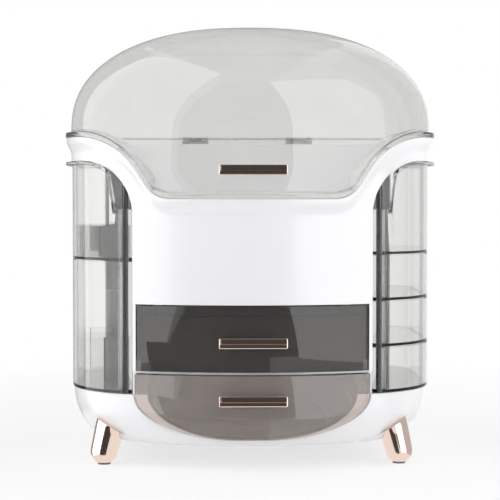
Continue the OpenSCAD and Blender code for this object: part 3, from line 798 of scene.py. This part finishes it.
class ORGANISER_OT_lid(bpy.types.Operator):
    """Make the clear dome lid with its apron, flange and hinge knuckles"""
    bl_idname = "organiser.lid"
    bl_label = "Dome lid"

    def execute(self, context):
        form = Form(context)
        stations, _ = form.full_ring()
        power = 2 / form.dome_fullness
        angles = [math.pi / 2 * (k / 34) for k in range(34)]

        def dome(inset, a):
            f, h = math.cos(a) ** power, math.sin(a) ** power
            z = form.dome_z + h * (form.dome_height - inset)
            return [(x * f, y * f, z) for x, y in (place(s, inset) for s in stations)]

        def apron(inset, z, rise=0.0):
            """rise is the share of the way up from the rim to the dome."""
            points = []
            for s in stations:
                x, y = place(s)
                i = inset
                if y > 0 and in_slot(x, *EAR_NOTCH):
                    i = max(inset, -1.9)
                rim = form.rim(s) + z
                points.append((*place(s, i), rim + rise * (form.dome_z - rim)))
            return points

        out, top = form.flange_out, LID_GAP + form.flange_h
        wall = form.lid_wall
        sections = [dome(wall, a) for a in reversed(angles)]
        sections += [apron(wall, top, r) for r in (0.66, 0.33)]
        sections += [apron(inset, z) for inset, z in (
            (wall, LID_GAP + 0.4), (wall - 0.4, LID_GAP), (-out + 0.5, LID_GAP),
            (-out, LID_GAP + 0.5), (-out, top - 0.6), (-out + 0.2, top - 0.15), (-out + 0.7, top),
            (-1.6, top + 0.35), (-0.4, top + 0.75), (0, top + 1.6))]
        sections += [apron(0, top + 1.6, r) for r in (0.33, 0.66)]
        sections += [dome(0, a) for a in angles]
        mould = Mould()
        rings = mould.loft(sections, caps=False)
        for ring, height in ((rings[0], form.dome_height - wall), (rings[-1], form.dome_height)):
            tip = mould.ring([(0, 0, form.dome_z + height)])[0]
            n = len(ring)
            mould.faces += [(ring[i], ring[(i + 1) % n], tip) for i in range(n)]
        y, z = form.hinge_y, form.hinge_z
        for side in (-1, 1):
            x = side * KNUCKLES
            outline = arc(y, z, KNUCKLE_R, range(-90, 181, 15))
            outline += [(form.back + 4.2, z - 1.0), (form.back + 4.2, z - 2.0), (y - 2, z - 3)]
            mould.loft([[(x + d, py, pz) for py, pz in outline] for d in (-6, 6)])
        put(mould.mesh("dome_lid", smooth=50), "dome_lid", clear_smoke(context), "lid", ["lid"])
        return {"FINISHED"}


# ---- drawers ------------------------------------------------------------------------------


def front_panel(form, mould, columns, thick):
    """A bowed drawer front: columns hold x, bottom and top."""
    r = 0.7
    sections = []
    for x, z0, z1 in columns:
        s = form.station(x)
        sections.append([(*place(s, i), z) for i, z in (
            (0, z0 + r), (0, z1 - r), (0.2, z1 - 0.2), (r, z1), (thick - r, z1),
            (thick - 0.2, z1 - 0.2), (thick, z1 - r), (thick, z0 + r), (thick - 0.2, z0 + 0.2),
            (thick - r, z0), (r, z0), (0.2, z0 + 0.2))])
    mould.loft(sections)


def upper_drawer(form):
    mould = Mould()
    half = form.tower_x - form.wall - 0.8
    z0, z1 = form.lower_top_z + 0.6 + 1.5 + 0.5, form.housing_z - 0.8
    front_panel(form, mould, [(x, z0, z1) for x in span(-half, half, 44)], form.front_t)
    box = half - form.upper_box_in
    rear, wall = form.back - BOX_REAR, form.clear_wall

    def loop(inset, front_inset):
        w, y1, r = box - inset, rear - inset, 6 - inset
        front = [(x, form.front_at(x, front_inset)) for x in span(-w, w, 30)]
        corner = arc(w - r, y1 - r, r, range(0, 91, 15))
        return front + corner + [(-x, y) for x, y in reversed(corner)]

    outer, inner = loop(0, form.front_t / 2), loop(wall, form.front_t)
    low, high = z0 + 0.2, z1 - form.box_drop
    mould.loft([[(x, y, z) for x, y in points] for points, z in
                ((outer, low), (outer, high), (inner, high), (inner, low + wall))])
    return mould


def lower_drawer(form):
    mould = Mould()
    h, w, half = form.lower_corner_h, form.lower_corner_w, form.lower_half
    outline = rounded_profile(half, form.lower_front_z, w, h, count=26)
    middle = steps(w - half, half - w, 6)[1:]
    columns = [(x, z) for x, z in reversed(outline)]
    cut_at = len(columns) // 2
    columns = columns[:cut_at] + [(x, form.lower_front_z) for x in middle] + columns[cut_at:]
    front_panel(form, mould, [(x, z, form.lower_top_z) for x, z in columns], form.front_t)
    wall, top, rear = form.clear_wall, form.lower_top_z - form.box_drop, form.back - BOX_REAR
    box, box_z = half - form.lower_box_in, form.lower_front_z + BOX_LIFT
    shapes = []
    for inset in (0, wall):
        profile = rounded_profile(box - inset, box_z + inset, w - form.lower_box_in - inset,
                                  h - inset)
        profile = [(profile[0][0], top)] + profile + [(profile[-1][0], top)]
        front_inset = form.front_t if inset else form.front_t / 2
        front = mould.ring([(x, form.front_at(x, front_inset), z) for x, z in profile])
        back = mould.ring([(x, rear - inset, z) for x, z in profile])
        mould.skin(front, back, closed=False)
        mould.faces.append(tuple(back))
        shapes.append((front, back))
    (of, ob), (jf, jb) = shapes
    mould.skin(of, jf, closed=False)
    mould.faces.append((of[0], ob[0], ob[-1], of[-1], jf[-1], jb[-1], jb[0], jf[0]))
    return mould


class ORGANISER_OT_drawers(bpy.types.Operator):
    """Make the two smoked drawers"""
    bl_idname = "organiser.drawers"
    bl_label = "Drawers"

    def execute(self, context):
        form = Form(context)
        for name, make, smoke in (("upper_drawer", upper_drawer, upper_smoke),
                                  ("lower_drawer", lower_drawer, lower_smoke)):
            put(make(form).mesh(name + "_tray", bevel=0.35), name + "_tray", smoke(context),
                name, [name])
        return {"FINISHED"}


# ---- side bins ----------------------------------------------------------------------------


def bin_top(form, x, y):
    """Height of an arched bin's edge, kept clear of the arch as the bin swings."""
    reach = form.tube_r + 0.2 + SWING_GAP
    away = math.hypot(x - form.pivot_x, y - form.pivot_y)
    if away < reach + 5:
        return min(form.arch(x, SWING_GAP), form.arch_foot + BIN_FOOT)
    return min(form.arch(x, SWING_GAP),
               form.arch(form.pivot_x + math.sqrt(away * away - reach * reach), SWING_GAP))


def bin_loops(form):
    """Outer and inner outline of a right-hand bin, anticlockwise from its hinge tube."""
    px, py, r, wall = form.pivot_x, form.pivot_y, form.tube_r, form.clear_wall
    near, rear = form.tower_x + SWING_GAP, form.back - BIN_REAR
    outer = arc(px, py, r, (180 + 150 * k / 14 for k in range(15)))
    inner = arc(px, py, r, (128 - 128 * k / 14 for k in range(15)))
    stations = form.to_back([x for x in form.arch_xs(range(46, 91, 4)) if x > 105.2], 10, 6)
    for points, inset, y1 in ((outer, BIN_INSET, rear), (inner, BIN_INSET + wall, rear - wall)):
        points += [place(s, inset) for s in stations]
        end = math.asin((y1 - form.turn_y) / (form.back_corner - inset))
        points += [place((*form.rear_corner, a), inset) for a in span(0, end, 9)]
        edge = near + inset - BIN_INSET
        round_r = 3.0 - (inset - BIN_INSET)
        points += [(118, y1), (106, y1)]
        points += [(edge + round_r - round_r * math.sin(t), y1 - round_r + round_r * math.cos(t))
                   for t in (math.pi / 2 * k / 4 for k in range(5))]
        points += [(edge, y) for y in (75, 50, 25, 0, -25, -50, -66)]
    return outer, inner


def side_bin(form, z0, z1, arched):
    mould = Mould()
    outer, inner = bin_loops(form)
    wall = form.clear_wall
    top = (lambda x, y: bin_top(form, x, y)) if arched else (lambda x, y: z1)
    mould.loft([[(x, y, z0) for x, y in outer], [(x, y, top(x, y)) for x, y in outer],
                [(x, y, top(x, y)) for x, y in inner], [(x, y, z0 + wall) for x, y in inner]])
    if arched:
        bin_lip(form, mould)
    return mould


def bin_lip(form, mould):
    """The thin flange that follows the arch, cut off level with the hinge tube."""
    limit = form.pivot_y - form.tube_r
    xs = [x for x in form.arch_xs(range(44, 91, 3)) if x > form.pivot_x + 6]
    end = math.asin((form.back - BIN_REAR - form.turn_y) / form.back_corner)
    stations = form.to_back(xs, 10, 6)
    stations += [(*form.rear_corner, a) for a in steps(0, end, 9) + [end - 0.06]]
    sections = []
    for s in stations:
        out = -4.5
        while out < 0.4 and place(s, out)[1] < limit:
            out += 0.1
        a, b = place(s, out), place(s, BIN_INSET + 1.0)
        over = (form.arch_x - a[0]) / form.arch_r
        thick = 2.6 * min(2.4, 1 / max(0.35, math.sqrt(max(0.0, 1 - max(0.0, over) ** 2))))
        za, zb = bin_top(form, *a), bin_top(form, *b)
        eased = place(s, out + 0.5)
        sections.append([(*b, zb), (*eased, za), (*a, za - 0.5),
                         (*a, za - thick + 0.5), (*eased, za - thick), (*b, zb - thick)])
    mould.loft(sections)


class ORGANISER_OT_bins(bpy.types.Operator):
    """Make the clear bins that swing out of both sides"""
    bl_idname = "organiser.bins"
    bl_label = "Side bins"

    def execute(self, context):
        form = Form(context)
        pitch = (form.right_split - form.deck_z) / 3
        bins = [("left_upper_bin", form.left_split, form.arch_z, True, True),
                ("left_lower_bin", form.deck_z, form.left_split, False, True),
                ("right_upper_bin", form.right_split, form.arch_z, True, False)]
        bins += [(name, form.deck_z + k * pitch, form.deck_z + (k + 1) * pitch, False, False)
                 for k, name in enumerate(("right_tray_bottom", "right_tray_middle",
                                           "right_tray_top"))]
        for name, z0, z1, arched, left in bins:
            mesh = side_bin(form, z0 + SWING_GAP, z1, arched).mesh(name + "_shell", mirror=left,
                                                                   bevel=0.35)
            put(mesh, name + "_shell", clear_bin(context), name, [name],
                weighted=True)
        return {"FINISHED"}


# ---- handles and legs ---------------------------------------------------------------------


def handle(form, z):
    """A bar with a scooped face on two posts."""
    yf = form.front - form.handle_out
    yb = yf + 5
    half, h = form.handle_w / 2, form.handle_h / 2
    mould = Mould()

    def section(x, scoop, size):
        deep = 1.6 * scoop
        points = [(yb, -h + 0.8), (yb, h - 0.8), (yb - 0.3, h - 0.25), (yb - 0.9, h),
                  (yf + 0.7, h), (yf + 0.2, h - 0.15), (yf, h - 0.45), (yf, h - 0.75),
                  (yf + deep, h - 1.1), (yf + deep * 1.05, h - 2.4), (yf + deep, -0.2),
                  (yf, -0.85), (yf, -1.2), (yf, -h + 1.0), (yf + 0.25, -h + 0.35),
                  (yf + 0.9, -h), (yb - 0.9, -h), (yb - 0.3, -h + 0.25)]
        centre = (yf + yb) / 2
        return [(x, centre + (py - centre) * size, z + pz * size) for py, pz in points]

    rows = [(-half, 0, 0.84), (-half + 0.25, 0, 0.95), (-half + 0.7, 0, 1), (-half + 1.2, 0, 1),
            (-half + 1.5, 1, 1)]
    rows += [(x, 1, 1) for x in steps(-half + 1.5, half - 1.5, 8)[1:]]
    rows += [(-x, s, k) for x, s, k in reversed(rows[:5])]
    mould.loft([section(*row) for row in rows])
    foot = form.front_at(POST_X)
    for x in (-POST_X, POST_X):
        mould.loft([[(x + r * math.cos(t), y, z + r * math.sin(t)) for t in circle(32)]
                    for y, r in ((yf + 2.5, 2.6), (foot - 1.6, 2.6), (foot - 0.6, 2.9),
                                 (foot + 0.1, 3.5))])
    return mould


class ORGANISER_OT_handles(bpy.types.Operator):
    """Make the three rose-gold handles"""
    bl_idname = "organiser.handles"
    bl_label = "Handles"

    def execute(self, context):
        form = Form(context)
        for body, z in HANDLE_Z.items():
            name = body + "_handle"
            put(handle(form, z).mesh(name + "_bar", smooth=45), name + "_bar", rose_gold(context),
                body, [name], weighted=True)
        return {"FINISHED"}


class ORGANISER_OT_legs(bpy.types.Operator):
    """Make the four round-ended rose-gold legs"""
    bl_idname = "organiser.legs"
    bl_label = "Legs"

    def execute(self, context):
        form = Form(context)
        ball_z = form.leg_r - 1.6 + PAD
        for row, y in (("front", form.front + form.leg_inset_y),
                       ("rear", form.back - form.leg_inset_y)):
            for hand, side in (("left", -1), ("right", 1)):
                lean = side * form.leg_lean
                rings = [(form.leg_r * math.sin(a), -form.leg_r * math.cos(a))
                         for a in (math.radians(10 * k) for k in range(1, 10))]
                rings += [(form.leg_r + (form.leg_top_r - form.leg_r) * h / 45, h)
                          for h in (4, 8, 14, 20, 26, 32, 38, 41)]
                mould = Mould()
                sections = []
                for r, h in rings:
                    section = []
                    for t in circle(72):
                        px = r * math.cos(t)
                        x = px * math.cos(lean) + h * math.sin(lean)
                        z = -px * math.sin(lean) + h * math.cos(lean)
                        top = LEG_TOP - LEG_FALL * max(0.0, form.leg_r + side * x)
                        section.append((side * form.leg_x - x, y + r * math.sin(t),
                                        min(top, max(PAD, ball_z + z))))
                    sections.append(section)
                mould.loft(sections)
                name = f"leg_{row}_{hand}"
                put(mould.mesh(name + "_cone"), name + "_cone", rose_gold(context), "cabinet",
                    [name])
        return {"FINISHED"}


class ORGANISER_OT_fittings(bpy.types.Operator):
    """Finish the CAD pieces that are kept: carcass, cover, dividers, screws, pins and pads"""
    bl_idname = "organiser.fittings"
    bl_label = "Kept CAD pieces"

    def execute(self, context):
        finishes = {
            white_plastic: ("carcass", "rear_cover"),
            clear_bin: ("left_upper_divider", "left_lower_divider"),
            bright_steel: ("leg_screws", "housing_screws", "rear_cover_screws", "lid_hinge_pins",
                           "lid_handle_screws", "upper_drawer_screws", "lower_drawer_screws"),
            dark_steel: ("pivot_rod_left", "pivot_rod_right"),
            pad_rubber: ("foot_pads",),
        }
        for make, names in finishes.items():
            for name in names:
                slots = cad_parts[name].material_slots
                for slot in slots:
                    slot.material = make(context)
                if not slots:
                    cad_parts[name].data.materials.append(make(context))
        return {"FINISHED"}


# ---- stage --------------------------------------------------------------------------------

# In metres, the corners of each lamp: bottom front, bottom back, top back, top front. The sheet
# that stands for the lamp in reflections has the radiance named before them.
LIGHT_PANELS = {
    "panel_left": ("panel_gloss", ((-0.77, -1.18, 0.0), (-0.96, 0.29, 0.0), (-0.49, 0.24, 1.5),
                                   (-0.23, -0.78, 1.5))),
    "panel_right": ("panel_gloss", ((0.47, -1.34, 0.0), (1.07, -0.64, 0.0), (0.87, -0.68, 1.5),
                                    (0.21, -1.2, 1.5))),
    "panel_rear_right": ("rear_gloss", ((1.0, -0.56, 0.0), (0.6, 0.76, 0.0), (0.52, 0.64, 1.5),
                                        (0.58, -0.35, 1.5))),
}
# Darker sheets that only reflections see: radiance, and corners one after another
FLAGS = {
    "flag_front": ("flag_dark", ((-0.92, -1.45, -0.35), (0.5, -1.45, -0.35), (0.26, -1.3, 1.6),
                                 (-0.3, -1.3, 1.6))),
    "flag_top": ("flag_grey", ((-0.3, -1.3, 1.6), (0.26, -1.3, 1.6), (0.55, 1.4, 1.6),
                               (-0.55, 1.4, 1.6))),
    "flag_left": ("flag_grey", ((-0.97, 0.33, -0.35), (-0.62, 1.4, -0.35), (-0.62, 1.4, 1.6),
                                (-0.5, 0.28, 1.6))),
    "flag_low": ("flag_dark", ((-0.58, -0.7, -0.35), (0.1, -0.7, -0.35), (0.1, -0.7, 0.0),
                               (-0.58, -0.7, 0.0))),
    "flag_rear": ("flag_grey", ((-0.62, 1.4, -0.35), (0.38, 1.4, -0.35), (0.38, 1.4, 1.6),
                                (-0.62, 1.4, 1.6))),
}
UNDER = 0.35  # how far the lamps' sheets reach under the floor
FLOOR_HALF = 2.8
WALL_Y, WALL_HIGH = 1.9, 3


def ray(g, name):
    return g.node("ShaderNodeLightPath", out=name)


def seen_white(g):
    """1 where the eye, metal or clear plastic looks."""
    return ray(g, "Is Camera Ray").larger(ray(g, "Is Glossy Ray")).larger(
        ray(g, "Is Transmission Ray"))


def let_in(g):
    """1 for light that falls on the inside through clear plastic."""
    return ray(g, "Is Transmission Ray") * ray(g, "Diffuse Depth").clipped()


def cloth(g, stage):
    return g.node("ShaderNodeBsdfPrincipled", None, {
        "Base Color": g.blend(g.noise(3, 3), tone(stage.floor), tone(stage.floor, 0.98)),
        "Roughness": 0.85 + 0.1 * g.noise(8, 2)})


def studio_white(g, plain, amount, lift):
    return g.node("ShaderNodeMixShader", None, {
        0: amount, 1: plain,
        2: g.node("ShaderNodeEmission", None, {"Strength": 1.0 + let_in(g) * lift})})


def flat(name, corners, material):
    """A flat sheet of the studio, which is no part of the object."""
    mould = Mould()
    sheet = mould.ring([tuple(c * MM for c in corner) for corner in corners])
    mould.faces.append(tuple(sheet))
    mesh = mould.mesh(name)
    mesh.materials.append(material)
    thing = bpy.data.objects.new(name, mesh)
    bpy.context.scene.collection.objects.link(thing)
    return thing


def light_panel(name, corners, radiance):
    """A rectangular lamp that fills the four corners as nearly as a rectangle can."""
    low_front, low_back, top_back, top_front = (Vector(c) for c in corners)
    centre = (low_front + low_back + top_back + top_front) / 4
    along = (low_back - low_front + top_back - top_front) / 2
    up = (top_front - low_front + top_back - low_back) / 2
    data = bpy.data.lights.new(name, "AREA")
    data.shape, data.size, data.size_y = "RECTANGLE", along.length, up.length
    data.energy = radiance * math.pi * along.length * up.length
    thing = bpy.data.objects.new(name, data)
    bpy.context.scene.collection.objects.link(thing)
    x = along.normalized()
    z = x.cross(up).normalized()
    if z.dot(centre) < 0:
        x, z = -x, -z
    turned = Matrix((x, z.cross(x), z)).transposed().to_4x4()
    thing.matrix_world = Matrix.Translation(centre) @ turned
    thing.visible_camera = thing.visible_transmission = thing.visible_glossy = False


def glowing(name, radiance):
    """A sheet that shines in reflections and isn't there for light that passes through plastic."""
    g = finish_graph(name)
    return g.surface(g.node("ShaderNodeMixShader", None, {
        0: ray(g, "Is Transmission Ray"),
        1: g.node("ShaderNodeEmission", None, {"Strength": radiance}),
        2: g.node("ShaderNodeBsdfTransparent")}))


def only_reflected(thing):
    """Leaves a sheet of the studio to reflections alone."""
    thing.visible_camera = thing.visible_diffuse = thing.visible_transmission = False
    thing.visible_shadow = False


class ORGANISER_OT_stage(bpy.types.Operator):
    """Set up the pale floor and backdrop, the lamps, the sheets in reflections and the camera"""
    bl_idname = "organiser.stage"
    bl_label = "Stage"

    def execute(self, context):
        scene = context.scene
        stage = scene.organiser_stage
        form = Form(context)
        g = finish_graph("studio_floor")
        away = g.node("ShaderNodeVectorMath", {"operation": "LENGTH"}, {0: g.place()}, out=1)
        near = (1.4 - 2.0 * away).clipped()
        pale = g.surface(studio_white(g, cloth(g, stage),
                                      seen_white(g) * (1.0 - stage.shadow * near), stage.lift))
        floor = flat("studio_floor", [(-FLOOR_HALF, -FLOOR_HALF, 0), (FLOOR_HALF, -FLOOR_HALF, 0),
                                      (FLOOR_HALF, WALL_Y, 0), (-FLOOR_HALF, WALL_Y, 0)], pale)
        floor.visible_glossy = False
        g = finish_graph("studio_backdrop")
        pale = g.surface(studio_white(g, cloth(g, stage), seen_white(g), stage.lift))
        flat("studio_backdrop", [(x, WALL_Y, z) for x, z in (
            (-FLOOR_HALF, 0), (FLOOR_HALF, 0), (FLOOR_HALF, WALL_HIGH), (-FLOOR_HALF, WALL_HIGH))],
             pale)
        shine = {key: glowing(key, getattr(stage, key))
                 for key in ("flag_dark", "flag_grey", "panel_gloss", "rear_gloss")}
        for name, (key, corners) in FLAGS.items():
            only_reflected(flat(name, corners, shine[key]))

        world = bpy.data.worlds.new("studio")
        scene.world = world
        g = Graph(world)
        strength = seen_white(g) * (1 - stage.sky) + stage.sky + let_in(g) * stage.lift
        sky = g.node("ShaderNodeBackground", None,
                     {"Color": (1, 1, 1, 1), "Strength": strength})
        end = g.tree.nodes.new("ShaderNodeOutputWorld")
        g.tree.links.new(sky.socket, end.inputs["Surface"])

        for name, (key, corners) in LIGHT_PANELS.items():
            light_panel(name, corners, stage.panel_light)
            low = [(x, y, -UNDER) for x, y, z in corners[:2]]
            only_reflected(flat(name + "_face", low + list(corners[2:]), shine[key]))

        data = bpy.data.cameras.new("camera")
        data.lens, data.sensor_width = stage.focal, 36.0
        data.clip_start, data.clip_end = 0.05, 30
        camera = bpy.data.objects.new("camera", data)
        scene.collection.objects.link(camera)
        aside = stage.eye_aside
        camera.location = (-aside, form.front / MM - stage.eye_distance, stage.eye_height)
        yaw = math.atan2(aside, -camera.location.y)
        camera.rotation_euler = (math.pi / 2 - stage.tilt, 0.0, -yaw)
        scene.camera = camera
        scene.view_settings.view_transform = "Standard"
        return {"FINISHED"}


# ---- panel and registration ---------------------------------------------------------------

OPERATORS = (ORGANISER_OT_housing, ORGANISER_OT_base, ORGANISER_OT_lid, ORGANISER_OT_drawers,
             ORGANISER_OT_bins, ORGANISER_OT_handles, ORGANISER_OT_legs, ORGANISER_OT_fittings,
             ORGANISER_OT_stage)


class ORGANISER_PT_panel(bpy.types.Panel):
    """Lists the organiser's pieces, sizes and finishes"""
    bl_idname = "ORGANISER_PT_panel"
    bl_label = "Organiser"
    bl_space_type = "VIEW_3D"
    bl_region_type = "UI"
    bl_category = "Organiser"

    def draw(self, context):
        column = self.layout.column(align=True)
        for operator in OPERATORS:
            column.operator(operator.bl_idname)
        for group in ("organiser_sizes", "organiser_finishes", "organiser_stage"):
            values = getattr(context.scene, group)
            box = self.layout.box()
            for key in type(values).__annotations__:
                box.prop(values, key)


GROUPS = {"organiser_sizes": OrganiserSizes, "organiser_finishes": OrganiserFinishes,
          "organiser_stage": OrganiserStage}


def register():
    for group in (*GROUPS.values(), *OPERATORS, ORGANISER_PT_panel):
        bpy.utils.register_class(group)
    for name, group in GROUPS.items():
        setattr(bpy.types.Scene, name, bpy.props.PointerProperty(type=group))


def unregister():
    for name in GROUPS:
        delattr(bpy.types.Scene, name)
    for group in reversed((*GROUPS.values(), *OPERATORS, ORGANISER_PT_panel)):
        bpy.utils.unregister_class(group)


def main():
    register()
    bpy.ops.organiser.housing()
    bpy.ops.organiser.base()
    bpy.ops.organiser.lid()
    bpy.ops.organiser.drawers()
    bpy.ops.organiser.bins()
    bpy.ops.organiser.handles()
    bpy.ops.organiser.legs()
    bpy.ops.organiser.fittings()
    bpy.ops.organiser.stage()


if __name__ == "__main__":
    main()
